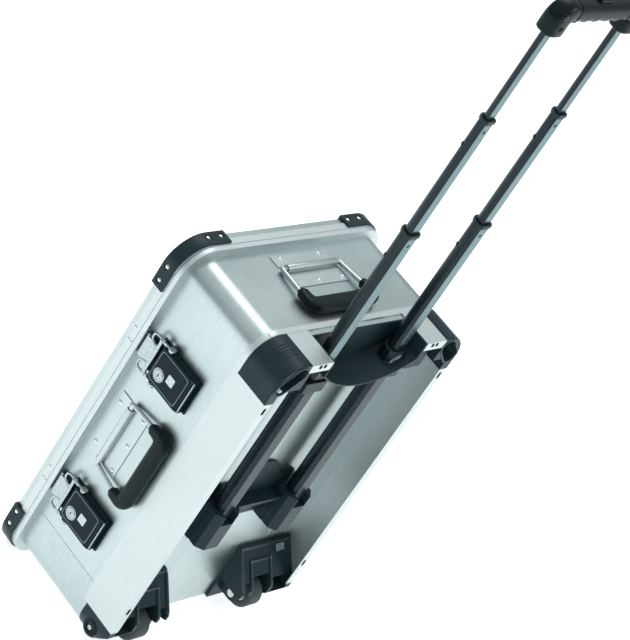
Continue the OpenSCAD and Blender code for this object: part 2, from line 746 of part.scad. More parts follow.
module wheel_housing_right() color("#292d2f") at_case() wheel_housing();
module wheel_housing_left() color("#292d2f") at_case() mirror([1, 0, 0]) wheel_housing();

module at_wheel(s) at_case() translate([s * wheel_x, wy, wz]) rotate([0, 90, 0]) children();

module tyre() rotate_extrude() difference() {
    translate([hub_r, -wheel_w / 2]) square([wheel_r - hub_r, wheel_w]);
    for (k = [-1, 1]) translate([wheel_r, k * wheel_w / 2]) rotate(45)
        square(tyre_round, center = true);
}

module hub() difference() {
    union() {
        cylinder(r = hub_r, h = wheel_w - 6, center = true);
        cylinder(r = axle_r + 4, h = wheel_w + 2 * wheel_clear - 2 * slack, center = true);
    }
    cylinder(r = axle_r + run, h = 99, center = true);
}

module tyre_left() color("#3a4044") at_wheel(-1) tyre();
module tyre_right() color("#3a4044") at_wheel(1) tyre();
module hub_left() color("#1f2224") at_wheel(-1) hub();
module hub_right() color("#1f2224") at_wheel(1) hub();

module axles() color("silver") at_case() both_x() {
    translate([bay_x0 - lug_t, wy, wz]) rotate([0, 90, 0])
        cylinder(r = axle_r, h = bay_x1 + 12 - bay_x0 + lug_t);
    translate([bay_x0 - lug_t - 2, wy, wz]) rotate([0, 90, 0]) cylinder(r = 6.5, h = 2);
}

module housing_clips() color("gainsboro") at_case() both_x()
    translate([bx - 40, y_floor + 5, ramp_z])
        rotate([-atan2(ramp_z - house_z - 4, recess_d - 5), 0, 0])
            translate([0, 6, 0]) cube([18, 11, 4]);

module rear_feet() color("#1a1c1e") at_case() both_x()
    translate([foot_x, foot_y, z_min]) cylinder(r1 = foot_r - 1, r2 = foot_r, h = -bz - z_min);

body_shell();
body_rim();
lid_shell();
lid_rim();
lid_seal();
lid_corner_guards();
lid_rivets();
lid_hinge_leaves();
body_hinge_leaves();
hinge_pins();
latch_bases();
latch_pivot_pins();
latch_lever_upper();
latch_lever_lower();
latch_bail_upper();
latch_bail_lower();
key_cylinder_upper();
key_cylinder_lower();
latch_keepers();
side_handle_plate();
side_handle_rod();
side_handle_grip();
top_handle_plate();
top_handle_rod();
top_handle_grip();
body_rivets();
side_rails();
end_rails();
corner_blocks();
block_screws();
handle_cup();
tube_clamps();
lower_bracket();
fixed_tubes();
fixed_collars();
stage_a_tubes();
stage_a_collars();
stage_a_plugs();
stage_b_tubes();
stage_b_collars();
stage_b_plugs();
stage_c_tubes();
stage_c_plugs();
grip_front_shell();
grip_rear_shell();
grip_button();
button_spring();
grip_screws();
wheel_housing_left();
wheel_housing_right();
tyre_left();
tyre_right();
hub_left();
hub_right();
axles();
housing_clips();
rear_feet();
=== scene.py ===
"""Hard shell trolley case: finishes, moulded parts, trim, floor, light and camera."""
import logging
import math
from dataclasses import dataclass, field
from enum import Enum
from typing import Sequence

import bpy
import numpy as np
from mathutils import Matrix, Vector

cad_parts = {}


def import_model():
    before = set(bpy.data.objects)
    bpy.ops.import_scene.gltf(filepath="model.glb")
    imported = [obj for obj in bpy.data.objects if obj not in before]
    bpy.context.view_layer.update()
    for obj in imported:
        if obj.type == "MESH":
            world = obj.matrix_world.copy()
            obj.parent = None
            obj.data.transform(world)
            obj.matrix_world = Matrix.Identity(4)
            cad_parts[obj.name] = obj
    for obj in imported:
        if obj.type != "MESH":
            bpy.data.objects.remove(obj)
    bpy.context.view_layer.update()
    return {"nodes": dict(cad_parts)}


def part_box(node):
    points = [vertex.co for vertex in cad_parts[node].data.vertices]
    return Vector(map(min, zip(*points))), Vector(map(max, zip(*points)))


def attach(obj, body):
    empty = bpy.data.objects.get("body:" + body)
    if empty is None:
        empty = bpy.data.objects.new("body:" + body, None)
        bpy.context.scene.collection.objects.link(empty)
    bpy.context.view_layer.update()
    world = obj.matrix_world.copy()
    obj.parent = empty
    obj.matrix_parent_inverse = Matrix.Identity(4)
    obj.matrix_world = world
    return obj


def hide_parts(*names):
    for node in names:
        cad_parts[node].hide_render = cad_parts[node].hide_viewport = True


LOG = logging.getLogger("trolley_case")
MM = 0.001
WELD_REACH = 0.01 * MM
STEEP_EDGE = 40.0  # degrees
DUST_TONE = (0.30, 0.34, 0.35, 1)
Colour = tuple[float, float, float]
ALONG_X, ALONG_Y, ALONG_Z = (1, 0, 0), (0, 1, 0), (0, 0, 1)
TUBE_X, TUBE_Y = 75.0, 180.0  # the pull tubes' axes, either side of the middle


# ---------------------------------------------------------------- places
@dataclass
class Place:
    """Turns sizes in millimetres, measured from the body's middle and rim, into metres.

    X counts from the middle towards the latches, Y from the body's rim towards the
    tubes and Z from the middle of the body towards the pull handle.
    """

    origin: np.ndarray = field(default_factory=lambda: np.zeros(3))
    half_width: float = 0.0
    half_length: float = 0.0
    floor_y: float = 0.0
    back_y: float = 0.0

    @classmethod
    def from_frame(cls) -> "Place":
        """Reads the body shell's box. Returns: the place of the case's own origin."""
        low, high = (np.array(v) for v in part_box("body_shell"))
        rail_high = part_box("side_rails")[1]
        origin = np.array([(low[0] + high[0]) / 2, low[1], (low[2] + high[2]) / 2])
        return cls(origin, (high[0] - low[0]) / 2 / MM, (high[2] - low[2]) / 2 / MM,
                   (high[1] - low[1]) / MM, (rail_high[1] - origin[1]) / MM)

    def at(self, points: np.ndarray) -> np.ndarray:
        """Millimetre points, last axis x, y, z, as metres in the row frame."""
        return np.asarray(points, float) * MM + self.origin


# ---------------------------------------------------------------- surfaces
def grid_mesh(name: str, rows: np.ndarray, place: Place, caps: bool = True,
              smooth: bool = True) -> bpy.types.Object:
    """Builds a tube-like mesh from rings of points.

    The surface is the point rows[i, j] with i along the piece and j round it; each
    neighbouring pair of rings is joined by quads, and flat caps close both ends.

    Args:
        name: the object's name.
        rows: array of rings, points round a ring, and x, y, z in millimetres.
        place: where the case's own origin is.
        caps: closes the first and last ring.
        smooth: shades the faces smooth.

    Returns:
        The new object, at the origin, with outward faces.
    """
    n, m = rows.shape[:2]
    i, j = np.meshgrid(np.arange(n - 1), np.arange(m), indexing="ij")
    k = (j + 1) % m
    quads = np.stack([i * m + j, i * m + k, (i + 1) * m + k, (i + 1) * m + j], -1)
    faces: list[Sequence[int]] = [tuple(q) for q in quads.reshape(-1, 4).tolist()]
    if caps:
        faces += [tuple(range(m - 1, -1, -1)), tuple(range((n - 1) * m, n * m))]
    mesh = bpy.data.meshes.new(name)
    mesh.from_pydata(place.at(rows).reshape(-1, 3).tolist(), [], faces)
    mesh.update()
    volume = signed_volume(mesh)
    if volume < 0:
        mesh.flip_normals()
    mesh.polygons.foreach_set("use_smooth", [smooth] * len(mesh.polygons))
    obj = bpy.data.objects.new(name, mesh)
    bpy.context.scene.collection.objects.link(obj)
    if smooth:
        sharpen(obj)
    return obj


def signed_volume(mesh: bpy.types.Mesh) -> float:
    """Six times a closed mesh's volume: the sum of corner triple products."""
    mesh.calc_loop_triangles()
    tri = np.empty(len(mesh.loop_triangles) * 3, np.int32)
    mesh.loop_triangles.foreach_get("vertices", tri)
    co = np.empty(len(mesh.vertices) * 3)
    mesh.vertices.foreach_get("co", co)
    p = co.reshape(-1, 3)[tri.reshape(-1, 3)]
    return float(np.einsum("ij,ij->i", p[:, 0], np.cross(p[:, 1], p[:, 2])).sum())


def sharpen(obj: bpy.types.Object, degrees: float = 35.0) -> None:
    """Keeps edges steeper than the angle sharp on a smooth piece."""
    mesh = obj.data
    mesh.set_sharp_from_angle(angle=math.radians(degrees))


def superellipse(half_u: np.ndarray, half_v: np.ndarray, power: float, count: int = 40) -> np.ndarray:
    """Rings where |u / half_u| and |v / half_v| to the power sum to one.

    Args:
        half_u: half widths, one per ring.
        half_v: half heights, one per ring.
        power: 2 is an ellipse, larger is squarer.
        count: points round each ring.

    Returns:
        Array of rings, points and (u, v).
    """
    t = np.linspace(0, 2 * np.pi, count, endpoint=False)
    c, s = np.cos(t), np.sin(t)
    shape = np.stack([np.sign(c) * abs(c) ** (2 / power), np.sign(s) * abs(s) ** (2 / power)], -1)
    halves = np.stack(np.broadcast_arrays(half_u, half_v), -1)
    return shape[None] * halves[:, None]


def sweep(path: np.ndarray, rings: np.ndarray, side: Sequence[float]) -> np.ndarray:
    """Carries rings along a path that lies in a plane.

    Each ring's u runs along side crossed with the path's direction, and v along side.

    Args:
        path: points in millimetres.
        rings: (u, v) rings, one per path point.
        side: the plane's normal.

    Returns:
        Array of rings, points and x, y, z.
    """
    w = np.asarray(side, float)
    d = np.gradient(path, axis=0)
    d /= np.linalg.norm(d, axis=1, keepdims=True)
    u = np.cross(w, d)
    return path[:, None] + rings[..., :1] * u[:, None] + rings[..., 1:] * w


def round_corners(points: Sequence[Sequence[float]], radius: float, steps: int = 10) -> np.ndarray:
    """A polyline whose corners are arcs, as quadratic blends through each corner.

    Args:
        points: corner points.
        radius: how far from each corner the bend begins.
        steps: points along each bend.

    Returns:
        The path's points.
    """
    p = np.asarray(points, float)
    out = [p[:1]]
    for a, b, c in zip(p[:-2], p[1:-1], p[2:]):
        s = b + (a - b) / np.linalg.norm(a - b) * radius
        e = b + (c - b) / np.linalg.norm(c - b) * radius
        t = np.linspace(0, 1, steps)[:, None]
        out.append((1 - t) ** 2 * s + 2 * t * (1 - t) * b + t ** 2 * e)
    out.append(p[-1:])
    return np.concatenate(out)


def spread(path: np.ndarray, count: int) -> np.ndarray:
    """The same path with evenly spaced points."""
    run = np.concatenate([[0], np.cumsum(np.linalg.norm(np.diff(path, axis=0), axis=1))])
    t = np.linspace(0, run[-1], count)
    return np.stack([np.interp(t, run, path[:, k]) for k in range(3)], -1)


def lathe(profile: Sequence[Sequence[float]], centre: Sequence[float], axis: Sequence[float],
          count: int = 40) -> np.ndarray:
    """Turns a profile of (radius, height) round an axis.

    Args:
        profile: radius and height pairs, from one end to the other.
        centre: where height is zero, in millimetres.
        axis: direction of growing height.
        count: points round.

    Returns:
        Rings of points.
    """
    a = np.asarray(axis, float)
    side = np.cross(a, [0, 0, 1] if abs(a[2]) < 0.9 else [1, 0, 0])
    side /= np.linalg.norm(side)
    up = np.cross(a, side)
    t = np.linspace(0, 2 * np.pi, count, endpoint=False)
    ring = np.cos(t)[:, None] * side + np.sin(t)[:, None] * up
    p = np.asarray(profile, float)
    return np.asarray(centre, float) + p[:, 0, None, None] * ring + p[:, 1, None, None] * a


def pad_rows(half_u: float, half_v: float, height: float, power: float = 8.0,
             edge: float = 0.5, count: int = 48) -> np.ndarray:
    """A low pad on the plane w = 0: rounded outline, bevelled top edge.

    Args:
        half_u: half size along u.
        half_v: half size along v.
        height: how far the pad stands up.
        power: squareness of the outline.
        edge: width of the bevel.
        count: points round.

    Returns:
        Rings of (u, v, w).
    """
    inset = np.array([0, 0, edge * 0.3, edge, edge + 0.01])
    w = np.array([-0.3, height - edge * 0.7, height - edge * 0.2, height, height])
    rings = superellipse(half_u - inset, half_v - inset, power, count)
    return np.concatenate([rings, np.broadcast_to(w[:, None, None], rings.shape[:2] + (1,))], -1)


def laid(rows: np.ndarray, centre: Sequence[float], u: Sequence[float], v: Sequence[float],
         w: Sequence[float]) -> np.ndarray:
    """Places (u, v, w) points at a centre along three directions."""
    return np.asarray(centre, float) + rows @ np.array([u, v, w], float)


# ---------------------------------------------------------------- finishes
class Grain(Enum):
    """Which way a surface was brushed or drawn."""

    ALONG_X = (0.05, 1.0, 1.0)
    ALONG_Z = (1.0, 1.0, 0.05)
    NONE = (1.0, 1.0, 1.0)


class Nodes:
    """A short way to add and join shader nodes in one tree."""

    def __init__(self, tree: bpy.types.NodeTree) -> None:
        """Args: tree: the tree that new nodes go in."""
        self.tree = tree

    def add(self, kind: str, **values: object) -> bpy.types.Node:
        """Adds a node. Inputs are given by name with _ for a space, or as attributes."""
        node = self.tree.nodes.new(kind)
        for key, value in values.items():
            name = key.replace("_", " ")
            if name in node.inputs:
                self.put(node.inputs[name], value)
            else:
                setattr(node, key, value)
        return node

    def put(self, socket: bpy.types.NodeSocket, value: object) -> None:
        """Joins another socket to this one, or sets its value."""
        if isinstance(value, bpy.types.NodeSocket):
            self.tree.links.new(value, socket)
        else:
            socket.default_value = value

    def math(self, operation: str, *values: object) -> bpy.types.NodeSocket:
        """A Math node's result."""
        node = self.tree.nodes.new("ShaderNodeMath")
        node.operation = operation
        for socket, value in zip(node.inputs, values):
            self.put(socket, value)
        return node.outputs[0]


def grain_group() -> bpy.types.NodeTree:
    """Fine drawn lines over broad clouding.

    Returns:
        A group of Stretch, Scale and Clouding in, and Tone and Height out.
    """
    tree = bpy.data.node_groups.new("surface_grain", "ShaderNodeTree")
    sockets = tree.interface
    sockets.new_socket("Stretch", in_out="INPUT", socket_type="NodeSocketVector")
    sockets.new_socket("Scale", in_out="INPUT", socket_type="NodeSocketFloat")
    sockets.new_socket("Clouding", in_out="INPUT", socket_type="NodeSocketFloat")
    sockets.new_socket("Tone", in_out="OUTPUT", socket_type="NodeSocketFloat")
    sockets.new_socket("Height", in_out="OUTPUT", socket_type="NodeSocketFloat")
    n = Nodes(tree)
    given = n.add("NodeGroupInput")
    where = n.add("ShaderNodeTexCoord").outputs["Object"]
    stretched = n.add("ShaderNodeVectorMath", operation="MULTIPLY")
    n.put(stretched.inputs[0], where)
    n.put(stretched.inputs[1], given.outputs["Stretch"])
    fine = n.add("ShaderNodeTexNoise", Vector=stretched.outputs[0], Scale=given.outputs["Scale"],
                 Detail=3.0, Roughness=0.6)
    drawn = n.add("ShaderNodeVectorMath", operation="MULTIPLY")
    n.put(drawn.inputs[0], where)
    n.put(drawn.inputs[1], (1.0, 1.0, 0.4))
    broad = n.add("ShaderNodeTexNoise", Vector=drawn.outputs[0], Scale=11.0, Detail=3.0)
    drift = n.math("MULTIPLY", n.math("SUBTRACT", broad.outputs[0], 0.5), given.outputs["Clouding"])
    tone = n.math("ADD", fine.outputs[0], drift)
    out = n.add("NodeGroupOutput")
    n.put(out.inputs["Tone"], tone)
    n.put(out.inputs["Height"], fine.outputs[0])
    return tree


def dust_group() -> bpy.types.NodeTree:
    """Light dust and handling marks in soft patches.

    Returns:
        A group of Amount in, and Mask out.
    """
    tree = bpy.data.node_groups.new("handling_dust", "ShaderNodeTree")
    tree.interface.new_socket("Amount", in_out="INPUT", socket_type="NodeSocketFloat")
    tree.interface.new_socket("Mask", in_out="OUTPUT", socket_type="NodeSocketFloat")
    n = Nodes(tree)
    given = n.add("NodeGroupInput")
    where = n.add("ShaderNodeTexCoord").outputs["Object"]
    patch = n.add("ShaderNodeTexNoise", Vector=where, Scale=23.0, Detail=4.0, Roughness=0.65)
    speck = n.add("ShaderNodeTexNoise", Vector=where, Scale=310.0, Detail=2.0)
    both = n.math("MULTIPLY", patch.outputs[0], speck.outputs[0])
    mask = n.math("MULTIPLY", n.math("MULTIPLY", both, 3.0), given.outputs["Amount"])
    out = n.add("NodeGroupOutput")
    n.put(out.inputs["Mask"], n.math("MINIMUM", mask, 1.0))
    return tree


@dataclass(frozen=True)
class Finish:
    """One surface finish of the case."""

    name: str
    dark: Colour
    light: Colour
    metallic: float
    rough_low: float
    rough_high: float
    grain: Grain = Grain.NONE
    grain_scale: float = 900.0
    clouding: float = 0.5
    bump: float = 0.02
    dust: float = 0.1
    coat: float = 0.0
    specular: float = 0.5

    def build(self, grain: bpy.types.NodeTree, dust: bpy.types.NodeTree) -> bpy.types.Material:
        """Makes the material.

        Args:
            grain: the shared grain group.
            dust: the shared dust group.

        Returns:
            The finished material.
        """
        mat = bpy.data.materials.new(self.name)
        mat.use_nodes = True
        n = Nodes(mat.node_tree)
        mat.node_tree.nodes.clear()
        body = n.add("ShaderNodeBsdfPrincipled")
        body.inputs["Metallic"].default_value = self.metallic
        body.inputs["Coat Weight"].default_value = self.coat
        body.inputs["Coat Roughness"].default_value = 0.2
        body.inputs["Specular IOR Level"].default_value = self.specular
        lines = n.add("ShaderNodeGroup", node_tree=grain)
        lines.inputs["Stretch"].default_value = self.grain.value
        lines.inputs["Scale"].default_value = self.grain_scale
        lines.inputs["Clouding"].default_value = self.clouding
        film = n.add("ShaderNodeGroup", node_tree=dust)
        film.inputs["Amount"].default_value = self.dust
        ramp = n.add("ShaderNodeValToRGB", Fac=lines.outputs["Tone"])
        ramp.color_ramp.elements[0].position = 0.25
        ramp.color_ramp.elements[1].position = 0.75
        ramp.color_ramp.elements[0].color = (*self.dark, 1)
        ramp.color_ramp.elements[1].color = (*self.light, 1)
        dusty = n.add("ShaderNodeMix", data_type="RGBA")
        n.put(dusty.inputs[0], film.outputs["Mask"])
        n.put(dusty.inputs[6], ramp.outputs[0])
        n.put(dusty.inputs[7], DUST_TONE)
        n.put(body.inputs["Base Color"], dusty.outputs[2])
        rough = n.add("ShaderNodeMapRange", Value=lines.outputs["Tone"], To_Min=self.rough_low,
                      To_Max=self.rough_high, From_Min=0.2, From_Max=0.8)
        n.put(body.inputs["Roughness"], n.math("ADD", rough.outputs[0],
                                               n.math("MULTIPLY", film.outputs["Mask"], 0.25)))
        bump = n.add("ShaderNodeBump", Strength=self.bump, Distance=0.001,
                     Height=lines.outputs["Height"])
        n.put(body.inputs["Normal"], bump.outputs[0])
        out = n.add("ShaderNodeOutputMaterial")
        n.put(out.inputs["Surface"], body.outputs[0])
        return mat


# every finish of the case, darkest and lightest tone first
FINISHES: dict[str, Finish] = {f.name: f for f in (
    Finish("body_sheet", (0.42, 0.49, 0.495), (0.56, 0.63, 0.635), 1.0, 0.30, 0.42,
           Grain.ALONG_Z, 700.0, 0.7, 0.05, 0.03),
    Finish("anodised_profile", (0.55, 0.60, 0.605), (0.66, 0.70, 0.705), 1.0, 0.44, 0.56,
           Grain.ALONG_Z, 900.0, 0.4, 0.03, 0.02),
    Finish("pressed_plate", (0.48, 0.54, 0.545), (0.60, 0.65, 0.655), 1.0, 0.36, 0.48,
           Grain.ALONG_X, 800.0, 0.6, 0.04, 0.03),
    Finish("plain_steel", (0.46, 0.52, 0.535), (0.58, 0.63, 0.645), 1.0, 0.24, 0.34,
           Grain.NONE, 500.0, 0.5, 0.03, 0.04),
    Finish("rivet_metal", (0.58, 0.66, 0.67), (0.78, 0.85, 0.86), 1.0, 0.22, 0.32,
           Grain.NONE, 600.0, 0.4, 0.02, 0.03),
    Finish("plated_metal", (0.32, 0.38, 0.39), (0.50, 0.56, 0.57), 1.0, 0.12, 0.22,
           Grain.NONE, 400.0, 0.3, 0.01, 0.02),
    Finish("black_anodised", (0.003, 0.010, 0.015), (0.010, 0.026, 0.034), 0.3, 0.24, 0.36,
           Grain.ALONG_Z, 900.0, 0.3, 0.03, 0.02, 0.0, 0.3),
    # a lighter metal grey: painted highlight on the tubes' flat backs, which catch the light; also the
    # border round each latch panel
    Finish("painted_highlight_grey", (0.09, 0.145, 0.16), (0.19, 0.275, 0.295), 1.0, 0.3, 0.42,
           Grain.ALONG_Z, 900.0, 0.5, 0.03, 0.03),
    Finish("moulded_black", (0.005, 0.016, 0.022), (0.013, 0.032, 0.040), 0.0, 0.32, 0.46,
           Grain.NONE, 1400.0, 0.3, 0.08, 0.02, 0.0, 0.2),
    Finish("grip_black", (0.002, 0.007, 0.010), (0.006, 0.015, 0.019), 0.0, 0.22, 0.34,
           Grain.NONE, 1100.0, 0.3, 0.03, 0.0, 0.0, 0.15),
    Finish("edge_black", (0.012, 0.028, 0.036), (0.026, 0.052, 0.062), 0.0, 0.16, 0.26,
           Grain.NONE, 900.0, 0.3, 0.02, 0.0, 0.2, 0.5),
    Finish("tyre_rubber", (0.022, 0.032, 0.037), (0.045, 0.06, 0.067), 0.0, 0.5, 0.66,
           Grain.NONE, 800.0, 0.4, 0.15, 0.06, 0.0, 0.3),
    Finish("enamel_black", (0.003, 0.010, 0.015), (0.008, 0.021, 0.028), 0.0, 0.30, 0.42,
           Grain.NONE, 700.0, 0.3, 0.02, 0.0, 0.0, 0.12),
    Finish("pale_tile", (0.60, 0.68, 0.69), (0.76, 0.82, 0.83), 0.0, 0.35, 0.5,
           Grain.NONE, 600.0, 0.3, 0.02, 0.03),
    # near black for holes, slots, recesses and joint gaps: painted shade in place of the dark inside
    # them
    Finish("painted_shade_black", (0.002, 0.003, 0.003), (0.004, 0.005, 0.006), 0.0, 0.6, 0.8,
           Grain.NONE, 600.0, 0.3, 0.02, 0.01, 0.0, 0.1),
)}

# which finish each carried-over solid has
SOLIDS: dict[str, tuple[str, ...]] = {
    "body_sheet": ("body_shell", "lid_shell"),
    "anodised_profile": ("body_rim", "lid_rim", "side_rails", "end_rails"),
    "pressed_plate": ("side_handle_plate", "top_handle_plate"),
    "plain_steel": ("lid_hinge_leaves", "body_hinge_leaves", "hinge_pins", "latch_pivot_pins",
                    "latch_keepers", "side_handle_rod", "top_handle_rod", "button_spring",
                    "axles", "housing_clips", "block_screws"),
    "rivet_metal": ("lid_rivets", "body_rivets"),
    "plated_metal": ("latch_bail_upper", "latch_bail_lower", "key_cylinder_upper",
                     "key_cylinder_lower"),
    "enamel_black": ("latch_bases", "latch_lever_upper", "latch_lever_lower"),
    "black_anodised": ("grip_screws", "fixed_tubes", "stage_a_tubes", "stage_b_tubes", "stage_c_tubes"),
    "moulded_black": ("lid_corner_guards", "corner_blocks", "handle_cup", "tube_clamps",
                      "lower_bracket", "fixed_collars", "stage_a_collars", "stage_a_plugs",
                      "stage_b_collars", "stage_b_plugs", "stage_c_plugs",
                      "wheel_housing_left", "wheel_housing_right", "hub_left", "hub_right"),
    "grip_black": ("grip_button",),
    "tyre_rubber": ("lid_seal", "rear_feet", "tyre_left", "tyre_right"),
}

# how wide the rounded edges of each carried-over solid are, in metres
SOFT_EDGES: dict[float, tuple[str, ...]] = {
    0.0012: ("lid_corner_guards", "corner_blocks", "wheel_housing_left", "wheel_housing_right",
             "lower_bracket", "tube_clamps", "handle_cup", "grip_button"),
    0.0006: ("latch_lever_upper", "latch_lever_lower", "latch_bail_upper", "latch_bail_lower",
             "lid_rim", "body_rim", "end_rails", "side_rails", "tyre_left", "tyre_right",
             "fixed_collars", "stage_a_collars", "stage_b_collars", "side_handle_plate",
             "top_handle_plate"),
    0.0003: ("fixed_tubes", "stage_a_tubes", "stage_b_tubes", "stage_c_tubes"),
}


class Paint:
    """Builds every finish once and gives it to pieces."""

    def __init__(self) -> None:
        """Makes the shared groups and all materials."""
        grain, dust = grain_group(), dust_group()
        self.made = {name: f.build(grain, dust) for name, f in FINISHES.items()}

    def coat(self, obj: bpy.types.Object, name: str) -> None:
        """Puts one finish on every slot of a piece."""
        if not obj.data.materials:
            obj.data.materials.append(self.made[name])
        for slot in obj.material_slots:
            slot.material = self.made[name]

    def dress_solids(self, nodes: dict[str, bpy.types.Object]) -> None:
        """Gives the carried-over solids their finishes and softened edges."""
        for finish, names in SOLIDS.items():
            for name in names:
                self.coat(nodes[name], finish)
        for width, names in SOFT_EDGES.items():
            for name in names:
                add_soft_edge(nodes[name], width)


def add_soft_edge(obj: bpy.types.Object, width: float) -> None:
    """Welds a solid's loose faces and rounds its steep edges."""
    weld = obj.modifiers.new("weld", "WELD")
    weld.merge_threshold = WELD_REACH
    bevel = obj.modifiers.new("edge", "BEVEL")
    bevel.width = width
    bevel.segments = 2
    bevel.limit_method = "ANGLE"
    bevel.angle_limit = math.radians(STEEP_EDGE)
    bevel.use_clamp_overlap = True
    bevel.harden_normals = False


# ---------------------------------------------------------------- sub-assemblies
@dataclass
class Assembly:
    """What every sub-assembly needs: the case's place and the finishes."""

    place: Place
    paint: Paint

    def piece(self, name: str, rows: np.ndarray, finish: str, body: str, slot: str,
              caps: bool = True) -> bpy.types.Object:
        """Builds one piece, dresses it and sets the body that it moves with.

        Args:
            name: the piece's name.
            rows: its rings of points in millimetres.
            finish: its finish.
            body: the body it rides on.
            slot: not used.
            caps: closes both ends.

        Returns:
            The piece.
        """
        obj = grid_mesh(name, rows, self.place, caps)
        self.paint.coat(obj, finish)
        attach(obj, body)
        LOG.info("built %s on %s", name, body)
        return obj

    def merged(self, name: str, parts: Sequence[np.ndarray], finish: str, body: str,
               slot: str) -> bpy.types.Object:
        """Several closed forms of one kind as one piece.

        Args:
            name: the piece's name.
            parts: rings of points for each form.
            finish: its finish.
            body: the body it rides on.
            slot: not used.

        Returns:
            The joined piece.
        """
        objs = [grid_mesh(f"{name}_{i}", rows, self.place) for i, rows in enumerate(parts)]
        with bpy.context.temp_override(active_object=objs[0], object=objs[0],
                                       selected_editable_objects=objs, selected_objects=objs):
            bpy.ops.object.join()
        obj = objs[0]
        obj.name = obj.data.name = name
        self.paint.coat(obj, finish)
        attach(obj, body)
        LOG.info("built %s on %s", name, body)
        return obj


@dataclass
class CarryHandle(Assembly):
    """The moulded grip of a folding handle, on the side or the handle end."""

    body: str = "side_handle"
    on_side: bool = True
    pivot: float = 41.0
    reach: float = 74.0
    arm: float = 58.0
    band: float = 12.5
    thick: float = 7.5
    stand: float = 10.0
    middle: float = -3.0
    leg_drop: float = 27.0
    leg_lean: float = 5.0
    bend: float = 17.0
    leg_band: float = 8.0
    count: int = 120

    def build(self) -> None:
        """Sweeps the bar and its two legs along one rounded path."""
        y_bar = self.pivot + self.reach
        span = self.arm + 4.0
        foot_x, foot_y, turn_x = self.arm + self.leg_lean, y_bar - self.leg_drop, span + 1.5
        corners = [[-foot_x, foot_y, 0], [-turn_x, y_bar, 0], [turn_x, y_bar, 0], [foot_x, foot_y, 0]]
        path = spread(round_corners(corners, self.bend), self.count)
        along = np.linspace(0, 1, self.count)
        leg = np.clip(np.minimum(along, 1 - along) / 0.2, 0, 1)
        ease = leg * leg * (3 - 2 * leg)
        tip = np.clip(np.minimum(along, 1 - along) / 0.012, 0, 1) ** 0.5
        half = (self.leg_band + (self.band - self.leg_band) * ease) * (0.8 + 0.2 * tip)
        rings = superellipse(half, (self.thick - 0.4 + 0.4 * ease) * (0.8 + 0.2 * tip), 3.2)
        rows = sweep(path, rings, (0, 0, 1))
        self.piece(f"{self.body}_moulded_grip", self.turned(rows), "grip_black", self.body,
                   "grip_plastic")
        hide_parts(f"{self.body}_grip")
        ferrules = []
        for s in (-1, 1):
            end = np.array([s * (self.arm + 4.6), y_bar - 29.5, 0.0])
            way = np.array([s * 0.12, 1.0, 0.0])
            ferrules.append(self.turned(lathe([(3.6, 0), (5.4, 0.2), (6.4, 2), (6.6, 5), (6.6, 9)],
                                              end, way / np.linalg.norm(way))))
        self.merged(f"{self.body}_ferrules", ferrules, "grip_black", self.body, "grip_plastic")

    def turned(self, rows: np.ndarray) -> np.ndarray:
        """Points drawn flat, with x along the handle and z out, put on their wall."""
        along, y, out = rows[..., 0], rows[..., 1], rows[..., 2] + self.stand
        if self.on_side:
            return np.stack([out + self.place.half_width, y, along + self.middle], -1)
        return np.stack([along, y, out + self.place.half_length], -1)


